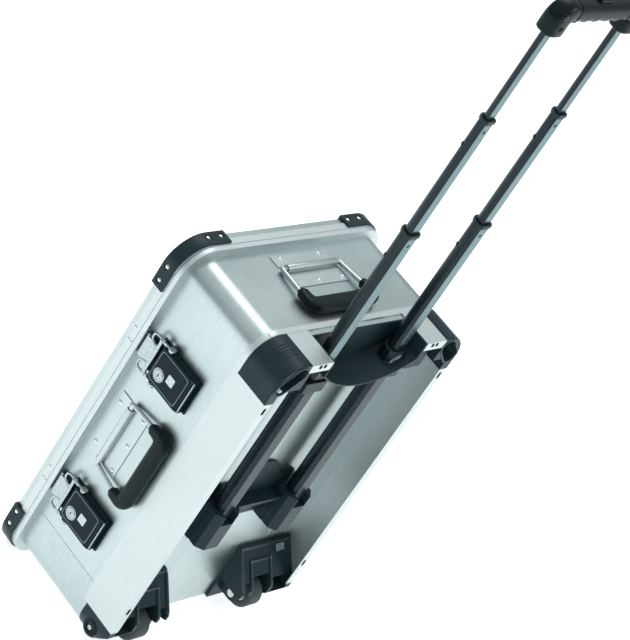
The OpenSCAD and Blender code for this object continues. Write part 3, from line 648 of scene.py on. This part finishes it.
@dataclass
class PullGrip(Assembly):
    """The grip on the top tubes."""

    low: float = 829.0
    top: float = 875.0
    spread_out: float = 1.4
    squareness: float = 2.9
    seam_x: float = 54.0
    wave_pitch: float = 22.0
    wave_depth: float = 2.6
    count: int = 260
    points: int = 56

    def build(self) -> None:
        """Adds the moulding, its seams, the leg screws and the screw bosses."""
        bar = self.top - 15.0
        self.build_moulding(bar)
        self.build_seams(bar)
        self.build_fixings()

    def build_moulding(self, bar: float) -> None:
        """Sweeps the grip from one socket over the bar to the other, with finger waves.

        The half widths ease from the bar's to the legs', and the underside is cut back by
        (1 + cos(2 pi x / pitch)) / 2 times the waves' depth.

        Args:
            bar: the height of the bar's axis.
        """
        leg_x = TUBE_X + self.spread_out
        corners = [[-leg_x, TUBE_Y, self.low], [-leg_x, TUBE_Y, bar],
                   [leg_x, TUBE_Y, bar], [leg_x, TUBE_Y, self.low]]
        path = spread(round_corners(corners, 15, 16), self.count)
        x = path[:, 0]
        t = np.linspace(0, 1, self.count)
        end = np.clip(np.minimum(t, 1 - t) / 0.012, 0, 1) ** 0.5
        leg = np.clip((np.abs(x) - 52) / 22, 0, 1)
        ease = leg * leg * (3 - 2 * leg)
        half_u = (14.2 + 3.6 * ease) * (0.93 + 0.07 * end)
        half_v = (13.6 + 1.2 * ease) * (0.93 + 0.07 * end)
        rings = superellipse(half_u, half_v, self.squareness, self.points)
        inner = np.clip(rings[..., 0] / half_u[:, None], 0, 1)
        wave = (0.5 + 0.5 * np.cos(2 * np.pi * x / self.wave_pitch)) * (1 - ease)
        rings[..., 0] -= inner * (wave * self.wave_depth)[:, None]
        grip = self.piece("pull_grip_moulding", sweep(path, rings, ALONG_Y), "grip_black",
                          "stage_c", "grip_plastic")
        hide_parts("grip_front_shell", "grip_rear_shell")

    def build_seams(self, bar: float) -> None:
        """Adds a fine dark ring of painted shade where each leg meets the bar. Args: bar, its axis
        height.
        """
        half_u = np.array([14.55, 14.75, 14.75, 14.55])
        seams = []
        for seam_x in (-self.seam_x, self.seam_x):
            line = np.array([[seam_x + d, TUBE_Y, bar] for d in (-0.6, -0.3, 0.3, 0.6)])
            ring = superellipse(half_u, half_u - 0.6, self.squareness, self.points)
            seams.append(sweep(line, ring, ALONG_Y))
        self.merged("pull_grip_seams", seams, "painted_shade_black", "stage_c", "grip_plastic")

    def build_fixings(self) -> None:
        """Adds the screw recesses low on the legs, dark with painted shade, and the bosses round the
        grip screws.
        """
        recess = [(3.6, -1), (3.6, 0.5), (3.0, 0.9), (1.6, 0.9), (1.5, 0.2)]
        screws = [lathe(recess, (s * (TUBE_X + 2.4), TUBE_Y + 14.4, self.low + 13), ALONG_Y)
                  for s in (-1, 1)]
        self.merged("pull_grip_leg_screws", screws, "painted_shade_black", "stage_c", "grip_plastic")
        low, high = (np.array(v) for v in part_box("grip_screws"))
        centre_z = ((low[2] + high[2]) / 2 - self.place.origin[2]) / MM
        boss = [(4.4, -12.0), (4.4, -0.5), (4.0, 0.0), (3.7, 0.0), (3.6, -0.4), (0.01, -0.4)]
        bosses = [lathe(boss, (s * (TUBE_X + 8), TUBE_Y + 15.0, centre_z), ALONG_Y)
                  for s in (-1, 1)]
        self.merged("pull_grip_bosses", bosses, "grip_black", "stage_c", "grip_plastic")


@dataclass
class Stage:
    """One pair of tubes: its body, upper end, half width and flat's distance."""

    body: str
    top: float
    radius: float
    back: float


@dataclass
class Tubes(Assembly):
    """Small trim of the telescoping tubes."""

    hole_drop: float = 14.0
    stud_drop: float = 42.0

    def build(self) -> None:
        """Adds the catch holes as discs of painted shade, the spring stops and the strips of painted
        highlight on the flats.
        """
        hole = [(2.6, -1), (2.6, 0.05), (2.2, 0.25), (1.2, 0.12), (0.01, -0.2)]
        stud = [(3.2, -1), (3.2, 0.6), (2.6, 1.1), (1.2, 1.35), (0.01, 1.4)]
        way = np.array([0.72, -0.69, 0.0])
        for stage in (Stage("case", 257.0, 15.0, 10.5), Stage("stage_a", 491.0, 12.6, 8.1),
                      Stage("stage_b", 683.0, 10.2, 5.7)):
            # the catch holes are low discs in painted shade black: the dark of each hole is painted
            holes = [lathe(hole, (s * TUBE_X, TUBE_Y + stage.back, stage.top - self.hole_drop),
                           ALONG_Y, 24) for s in (-1, 1)]
            self.merged(f"{stage.body}_catch_holes", holes, "painted_shade_black", stage.body,
                        "black_metal")
            studs = [lathe(stud, np.array([s * TUBE_X, TUBE_Y, stage.top - self.stud_drop])
                           + way * stage.radius, way / np.linalg.norm(way), 24)
                     for s in (-1, 1)]
            if stage.body != "case":
                self.flats(stage.body, stage.top, stage.back)
            self.merged(f"{stage.body}_stop_studs", studs, "black_anodised", stage.body,
                        "black_metal")
        self.flats("stage_c", 829.0, 3.3)

    def flats(self, body: str, top: float, back: float) -> None:
        """Lays a lighter strip of painted highlight on a stage's flat back, where the flat catches the
        light.

        Args:
            body: the stage.
            top: the stage's upper end.
            back: how far the flat is from the tube's axis.
        """
        low, half_flat = {"stage_a": (272.0, 8.3), "stage_b": (500.0, 7.3),
                          "stage_c": (692.0, 6.2)}[body]
        mid = (top + low) / 2 - 1.0
        # the strip is painted highlight, a lighter grey where the flat catches the light
        pad = pad_rows(half_flat, (top - low) / 2 - 2.0, 0.03, 18, 0.02)
        rows = [laid(pad, (s * TUBE_X, TUBE_Y + back, mid), ALONG_X, ALONG_Z, ALONG_Y)
                for s in (-1, 1)]
        self.merged(f"{body}_rubbed_flats", rows, "painted_highlight_grey", body, "black_metal")


@dataclass
class BaseFrame(Assembly):
    """Trim of the base frame: grooved corner skins, slots, beads, housing ribs."""

    outset: float = 2.2
    corner: float = 38.8
    wheel_x: float = 118.0
    axle_y: float = 183.5
    axle_z: float = -257.8
    groove_width: float = 0.45
    skin_rise: float = 0.62
    groove_depth: float = 0.5

    def contour(self, sign: int, grow: float, start: float, end: float) -> np.ndarray:
        """The outer line of a corner block: straight, a quarter circle, straight."""
        half_w = self.place.half_width + self.outset + 0.8
        half_l = self.place.half_length + self.outset + 0.8
        r = self.corner
        a = np.linspace(0, np.pi / 2, 24)
        arc = np.stack([half_w - r + (r + grow) * np.cos(a), half_l - r + (r + grow) * np.sin(a)], -1)
        line = np.concatenate([[[half_w + grow, start]], arc, [[end, half_l + grow]]])
        return line * [sign, 1]

    def build_corner_skins(self) -> None:
        """Grooved skins round the corner blocks: the outset drops in a bell at each groove."""
        y = np.linspace(148.0, self.place.back_y - 1.2, 181)
        grooves = np.array([164.0, 169.0, 174.0, 179.0, 184.0])
        bells = np.exp(-(((y[:, None] - grooves) / self.groove_width) ** 2)).sum(1)
        rise = self.skin_rise - self.groove_depth * np.clip(bells, 0, 1)
        for side, sign in (("latch_side", 1), ("hinge_side", -1)):
            base = self.contour(sign, 0.0, 226.0, 141.5)
            normal = self.contour(sign, 1.0, 226.0, 141.5) - base
            outer = base[:, None] + normal[:, None] * rise[None, :, None]
            inner = np.broadcast_to((base - normal)[:, None], outer.shape)
            ring = np.concatenate([outer, inner[:, ::-1]], 1)
            depth = np.broadcast_to(np.concatenate([y, y[::-1]])[None], ring.shape[:2])
            rows = np.stack([ring[..., 0], depth, ring[..., 1]], -1)
            self.piece(f"corner_ribs_{side}", rows, "moulded_black", "case", "black_plastic")

    def build_slots(self) -> None:
        """Small slots in the lips of the rails and the end strips, dark with painted shade."""
        back = self.place.back_y
        slots = []
        for s in (-1, 1):
            for z in (212.0, -190.0):
                slots.append(laid(pad_rows(2.6, 6.0, 0.3, 4, 0.2), (s * 182.5, back, z),
                                  (1, 0, 0), (0, 0, 1), (0, 1, 0)))
            for x in (112.0, 121.0):
                slots.append(laid(pad_rows(2.8, 3.4, 0.3, 4, 0.2), (s * x, back, 284.0),
                                  (1, 0, 0.25), (0, 0, 1), (0, 1, 0)))
        self.merged("rail_slots", slots, "painted_shade_black", "case", "alu_profile")

    def build_beads(self) -> None:
        """Rolled beads on the recess floor and the welded seam on the latch wall."""
        floor = self.place.floor_y
        beads = []
        for x in (-150.0, -132.0, 132.0, 150.0):
            path = np.array([[x, floor, z] for z in np.linspace(-176, 218, 24)])
            fade = np.clip(np.minimum(np.arange(24), np.arange(24)[::-1]) / 2, 0.05, 1)
            beads.append(sweep(path, superellipse(1.7 * fade, 1.0 * fade, 2.0, 16), (0, 1, 0)))
        self.merged("floor_beads", beads, "body_sheet", "case", "alu_sheet")
        wall = self.place.half_width
        path = np.array([[wall, y, -205.0] for y in np.linspace(3, 136, 20)])
        ring = superellipse(np.full(20, 0.5), np.full(20, 0.9), 2.0, 16)
        seam = [sweep(path, ring, ALONG_Z)]
        seam += [lathe([(3.4, -0.5), (3.4, 0.1), (2.4, 0.45), (0.01, 0.55)], (wall, y, -215.0),
                       (1, 0, 0), 24) for y in (37.0, 78.0, 120.0)]
        self.merged("wall_seam", seam, "body_sheet", "case", "alu_sheet")

    def ramp_point(self, x: float, t: float) -> np.ndarray:
        """A point of the wheel ramp: t is 0 at its top edge and 1 at its lower edge."""
        return self.ramp_top() + (0, t * self.ramp_fall()[0], t * self.ramp_fall()[1]) + (x, 0, 0)

    def ramp_top(self) -> np.ndarray:
        """The ramp's top edge at the case's middle."""
        return np.array([0.0, self.place.floor_y + 5, 109.0 - self.place.half_length - self.outset])

    def ramp_fall(self) -> tuple[float, float]:
        """How far the ramp runs back and down. Returns: the change in y and in z."""
        return self.place.back_y - self.place.floor_y - 5, -52.0

    def build_housing_trim(self) -> None:
        """Adds the ramps' ribs, the end bosses with bolts, and the rings in the wheels."""
        half_w, half_l = self.place.half_width + self.outset, self.place.half_length + self.outset
        back, down = self.ramp_fall()
        out = np.array([0.0, -down, back]) / math.hypot(down, back)
        lines = [((78.5, 0.04), (180.0, 0.04)), ((78.5, 0.02), (78.5, 0.97)),
                 ((139.5, 0.30), (139.5, 0.97)), ((97.0, 0.30), (97.0, 0.97)),
                 ((97.0, 0.34), (139.5, 0.34))]
        steps = 14
        fade = np.where(np.isin(np.arange(steps), (0, steps - 1)), 0.6, 1.0)
        ring = superellipse(2.1 * fade, 3.2 * fade, 3.0, 24)
        boss = [(13.5, -1), (13.5, 0.4), (12.6, 1.0), (8.6, 1.0), (7.8, 0.3), (7.6, -0.6), (0.01, -0.7)]
        bolt = [(3.6, -1), (3.6, 0.9), (2.9, 1.3), (1.6, 1.3), (1.4, 0.5), (0.01, 0.4)]
        hoop = [(11.2, 0), (11.2, 0.7), (12.0, 1.0), (14.0, 1.0), (14.8, 0.5), (14.8, -0.6)]
        for side, sign in (("right", 1), ("left", -1)):
            rows = [sweep(spread(np.array([self.ramp_point(*p) for p in line]), steps), ring, out)
                    * (sign, 1, 1) for line in lines]
            self.merged(f"housing_ribs_{side}", rows, "edge_black", "case", "black_plastic")
            at = (sign * half_w, self.place.floor_y + 17, 29 - half_l)
            self.piece(f"housing_boss_{side}", lathe(boss, at, (sign, 0, 0)), "enamel_black", "case",
                       "black_plastic")
            self.piece(f"housing_bolt_{side}", lathe(bolt, at, (sign, 0, 0), 24), "plain_steel",
                       "case", "steel")
            hoops = [lathe(hoop, (sign * self.wheel_x + f * 13.0, self.axle_y, self.axle_z),
                           (f, 0, 0), 48) for f in (-1, 1)]
            self.merged(f"wheel_rings_{side}", hoops, "plain_steel", f"wheel_{side}", "steel")


@dataclass
class Latches(Assembly):
    """Panels and tiles on the latch levers."""

    distance: float = 138.0
    front: float = 15.2
    panel_y: float = 70.5
    tile_y: float = 76.0
    key_y: float = 55.0
    key_offset: float = -8.5
    cheek_z: float = 28.0
    bail_y: float = 50.0
    roller_y: float = 29.0

    def build(self) -> None:
        """Adds the face, key, side and bail trim of each latch."""
        for name, s in (("upper", 1), ("lower", -1)):
            x = self.place.half_width + self.front
            z = s * self.distance
            self.build_face(name, x, z)
            self.build_key(name, x, z)
            self.build_sides(name, x, z)
            self.build_bail(name, x, z)

    def pad(self, name: str, rows: np.ndarray, centre: Sequence[float], finish: str, body: str,
            slot: str) -> None:
        """Lays one pad on a latch's front.

        Args:
            name: the piece's name.
            rows: the pad's (u, v, w) rings.
            centre: the middle of its foot.
            finish: its finish.
            body: the body it rides on.
            slot: not used; it is only passed on to piece.
        """
        self.piece(name, laid(rows, centre, ALONG_Y, ALONG_Z, ALONG_X), finish, body, slot)

    def build_face(self, name: str, x: float, z: float) -> None:
        """Adds the lever's outline, panel, blank tile and bright lower lip.

        Args:
            name: which latch.
            x: the lever's front face.
            z: the latch's middle.
        """
        body = f"lever_{name}"
        middle, tile_at = (x, self.panel_y, z), (x, self.tile_y, z + 0.5)
        self.pad(f"latch_outline_{name}", pad_rows(29.6, 24.6, 0.35, 14, 0.3), middle,
                 "painted_highlight_grey", body, "black_metal")
        self.pad(f"latch_panel_{name}", pad_rows(28.5, 23.5, 0.8, 14, 0.7), middle,
                 "enamel_black", body, "black_metal")
        self.pad(f"latch_tile_{name}", pad_rows(6.8, 6.8, 1.15, 16, 0.25), tile_at,
                 "pale_tile", body, "rivet_metal")
        ring = lathe([(3.9, 1.1), (3.9, 1.3), (3.3, 1.35), (3.2, 1.1)], tile_at, ALONG_X, 32)
        self.piece(f"latch_tile_ring_{name}", ring, "plain_steel", body, "steel")
        path = np.array([[x - 3.6, 107.2, zz] for zz in np.linspace(z - 26.5, z + 26.5, 12)])
        bead = superellipse(np.full(12, 0.9), np.full(12, 1.1), 2.6, 20)
        self.piece(f"latch_lip_{name}", sweep(path, bead, (0.8, 0.6, 0)), "plated_metal", body,
                   "bright_metal")

    def build_key(self, name: str, x: float, z: float) -> None:
        """Adds the key's face and slot, and the collar round it.

        Args:
            name: which latch.
            x: the lever's front face.
            z: the latch's middle.
        """
        at = (x, self.key_y, z + self.key_offset)
        face = [(8.4, 0.9), (8.4, 1.5), (7.8, 2.1), (6.2, 2.1), (5.8, 1.5), (4.6, 1.5),
                (4.3, 1.9), (0.01, 1.9)]
        self.piece(f"key_face_{name}", lathe(face, at, ALONG_X), "plated_metal", f"key_{name}",
                   "bright_metal")
        # the key's slot is a raised pad in painted shade black: the dark of the slot is painted
        self.pad(f"key_slot_{name}", pad_rows(0.8, 2.8, 2.1, 6, 0.1, 24), at, "painted_shade_black",
                 f"key_{name}", "bright_metal")
        collar = [(10.2, 0.5), (10.2, 1.1), (9.7, 1.4), (8.9, 1.4), (8.8, 0.7)]
        self.piece(f"latch_key_ring_{name}", lathe(collar, at, ALONG_X), "plated_metal",
                   f"lever_{name}", "bright_metal")

    def build_sides(self, name: str, x: float, z: float) -> None:
        """Adds the screws, cheeks and front edges on the lever's two sides.

        Args:
            name: which latch.
            x: the lever's front face.
            z: the latch's middle.
        """
        body = f"lever_{name}"
        screw = [(3.4, -0.4), (3.4, 0.8), (2.6, 1.3), (1.2, 1.3), (1.1, 0.8), (0.01, 0.8)]
        cheek = pad_rows(34.0, 4.6, 0.9, 12, 0.5)
        bead = superellipse(np.full(8, 0.8), np.full(8, 0.8), 2.0, 16)
        screws, cheeks, edges = [], [], []
        for k in (-1, 1):
            side_z, way = z + k * self.cheek_z, (0, 0, k)
            screws.append(lathe(screw, (x - 6.5, 101.0, side_z), way, 24))
            cheeks.append(laid(cheek, (x - 8.0, 74.0, side_z), ALONG_Y, ALONG_X, way))
            edge_z = z + k * 27.2
            run = spread(np.array([[x - 1.2, 44.0, edge_z], [x - 1.2, 106.0, edge_z]]), 8)
            edges.append(sweep(run, bead, ALONG_X))
        self.merged(f"latch_side_screws_{name}", screws, "enamel_black", body, "black_metal")
        self.merged(f"latch_cheeks_{name}", cheeks, "enamel_black", body, "black_metal")
        self.merged(f"latch_edges_{name}", edges, "edge_black", body, "black_metal")

    def build_bail(self, name: str, x: float, z: float) -> None:
        """Adds the bail's sleeve, wire loops and pivot knobs.

        Args:
            name: which latch.
            x: the lever's front face.
            z: the latch's middle.
        """
        body, wall = f"bail_{name}", self.place.half_width
        sleeve = lathe([(2.9, -16.2), (3.7, -15.4), (3.7, 15.4), (2.9, 16.2)],
                       (wall + 10.7, self.roller_y, z), ALONG_Z, 28)
        self.piece(f"bail_sleeve_{name}", sleeve, "plated_metal", body, "bright_metal")
        knob = [(5.2, -2.2), (5.6, -1.2), (5.6, 1.2), (5.0, 2.2), (2.6, 2.5), (2.4, 1.6), (0.01, 1.5)]
        wire = superellipse(np.full(40, 1.9), np.full(40, 1.9), 2.0, 20)
        loops, knobs = [], []
        for k in (-1, 1):
            corners = [[wall + 11.4, y, z + k * dz]
                       for y, dz in ((24.0, 14.0), (12.5, 19.0), (13.0, 31.0), (34.0, 32.0))]
            loops.append(sweep(spread(round_corners(corners, 7.0), 40), wire, ALONG_X))
            knobs.append(lathe(knob, (x - 4.5, self.bail_y, z + k * 32.2), (0, 0, k), 32))
        self.merged(f"bail_loops_{name}", loops, "plated_metal", body, "bright_metal")
        self.merged(f"latch_knobs_{name}", knobs, "plated_metal", body, "bright_metal")


@dataclass
class LidPanel(Assembly):
    """Trim of the lid's panel."""

    half_rim_w: float = 200.0
    half_rim_l: float = 300.0
    panel_y: float = -30.0

    def build(self) -> None:
        """Adds the two pressed steps round the lid panel, each a closed rounded loop."""
        count = 96
        a = np.linspace(0, 2 * np.pi, count, endpoint=False)
        for k, (inset, size) in enumerate(((24.0, 1.4), (34.0, 1.0))):
            r = 46.0 - inset * 0.4
            cx, cz = np.sign(np.cos(a)), np.sign(np.sin(a))
            x = cx * (self.half_rim_w - inset - r) + r * np.cos(a)
            z = cz * (self.half_rim_l - inset - r) + r * np.sin(a)
            path = np.stack([x, np.full(count, self.panel_y), z], -1)
            d = np.roll(path, -1, 0) - np.roll(path, 1, 0)
            d /= np.linalg.norm(d, axis=1, keepdims=True)
            u = np.cross(ALONG_Y, d)
            ring = superellipse(np.full(count, size * 2.2), np.full(count, size), 2.0, 20)
            rows = path[:, None] + ring[..., :1] * u[:, None] + ring[..., 1:] * np.array(ALONG_Y)
            closed = np.concatenate([rows, rows[:1]], 0)
            self.piece(f"lid_panel_bead_{k + 1}", closed, "body_sheet", "lid", "alu_sheet",
                       caps=False)


# ---------------------------------------------------------------- set
@dataclass
class Camera:
    """The viewpoint, in millimetres in the case's own frame."""

    centre: tuple[float, float, float] = (2514.27, 1481.23, 2019.22)
    turn: tuple[float, float, float] = (0.53082761, 2.1906031, -0.84787403)
    focal: float = 2482.86
    sensor: float = 36.0
    long_side: float = 640.0

    def build(self, place: Place) -> None:
        """Adds the camera and makes it the scene's."""
        turn = Vector(self.turn)
        world_to_view = Matrix.Rotation(turn.length, 3, turn.normalized())
        basis = world_to_view.transposed() @ Matrix.Diagonal((1, -1, -1))
        data = bpy.data.cameras.new("view")
        data.sensor_width = data.sensor_height = self.sensor
        data.sensor_fit = "AUTO"
        data.lens = self.focal * self.sensor / self.long_side
        data.clip_end = 50.0
        cam = bpy.data.objects.new("view", data)
        cam.matrix_world = Matrix.Translation(Vector(place.at(self.centre))) @ basis.to_4x4()
        bpy.context.scene.collection.objects.link(cam)
        bpy.context.scene.camera = cam


@dataclass
class Studio:
    """Pale floor, soft lights and an even surround."""

    size: float = 60.0
    floor_tone: tuple[float, ...] = (0.92, 0.94, 0.94, 1)
    floor_glow: tuple[float, ...] = (0.97, 1, 1, 1)
    glow: float = 0.72
    low_sky: tuple[float, ...] = (0.10, 0.14, 0.15, 1)
    high_sky: tuple[float, ...] = (0.92, 1.0, 1.0, 1)
    sky_strength: float = 0.8

    def floor(self) -> None:
        """Lays a plain pale floor under the case."""
        mesh = bpy.data.meshes.new("studio_floor")
        s = self.size
        mesh.from_pydata([(-s, -s, 0), (s, -s, 0), (s, s, 0), (-s, s, 0)], [], [(0, 1, 2, 3)])
        obj = bpy.data.objects.new("studio_floor", mesh)
        bpy.context.scene.collection.objects.link(obj)
        mat = bpy.data.materials.new("pale_floor")
        mat.use_nodes = True
        shader = mat.node_tree.nodes["Principled BSDF"]
        shader.inputs["Base Color"].default_value = self.floor_tone
        shader.inputs["Roughness"].default_value = 0.9
        shader.inputs["Emission Color"].default_value = self.floor_glow
        shader.inputs["Emission Strength"].default_value = self.glow
        mesh.materials.append(mat)

    def lamp(self, name: str, place: Sequence[float], aim: Sequence[float], size: float,
             power: float) -> None:
        """Adds one soft lamp.

        Args:
            name: the lamp's name.
            place: where it stands, in metres.
            aim: the point it faces.
            size: the side of its square.
            power: in watts.
        """
        data = bpy.data.lights.new(name, "AREA")
        data.size = size
        data.energy = power
        obj = bpy.data.objects.new(name, data)
        obj.location = place
        obj.rotation_euler = (Vector(aim) - Vector(place)).to_track_quat("-Z", "Y").to_euler()
        bpy.context.scene.collection.objects.link(obj)

    def surround(self) -> None:
        """A pale sky that darkens towards the floor, for the metal to mirror."""
        world = bpy.data.worlds.new("surround")
        bpy.context.scene.world = world
        world.use_nodes = True
        n = Nodes(world.node_tree)
        sky = world.node_tree.nodes["Background"]
        way = n.add("ShaderNodeTexCoord").outputs["Generated"]
        parts = n.add("ShaderNodeSeparateXYZ", Vector=way)
        ramp = n.add("ShaderNodeValToRGB", Fac=n.math("MULTIPLY_ADD", parts.outputs[2], 0.5, 0.5))
        ramp.color_ramp.elements[0].color = self.low_sky
        ramp.color_ramp.elements[1].color = self.high_sky
        ramp.color_ramp.elements[0].position = 0.5
        ramp.color_ramp.elements[1].position = 0.82
        n.put(sky.inputs["Color"], ramp.outputs[0])
        sky.inputs["Strength"].default_value = self.sky_strength

    def build(self) -> None:
        """Sets up floor, lamps, surround and plain tones."""
        bpy.context.scene.view_settings.view_transform = "Standard"
        self.floor()
        self.surround()
        middle = (0, 0, 0.4)
        self.lamp("key", (-0.8, -1.6, 3.2), middle, 1.6, 26)
        self.lamp("back", (-1.8, 2.2, 2.2), middle, 1.2, 18)


def main() -> None:
    """Builds the case's visual model around the frame."""
    logging.basicConfig(level=logging.INFO, format="%(message)s")
    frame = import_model()
    place = Place.from_frame()
    Camera().build(place)
    paint = Paint()
    paint.dress_solids(frame["nodes"])
    CarryHandle(place, paint).build()
    CarryHandle(place, paint, body="top_handle", on_side=False, middle=0.0).build()
    PullGrip(place, paint).build()
    Tubes(place, paint).build()
    base = BaseFrame(place, paint)
    base.build_corner_skins()
    base.build_slots()
    base.build_beads()
    base.build_housing_trim()
    Latches(place, paint).build()
    LidPanel(place, paint).build()
    Studio().build()


if __name__ == "__main__":
    main()
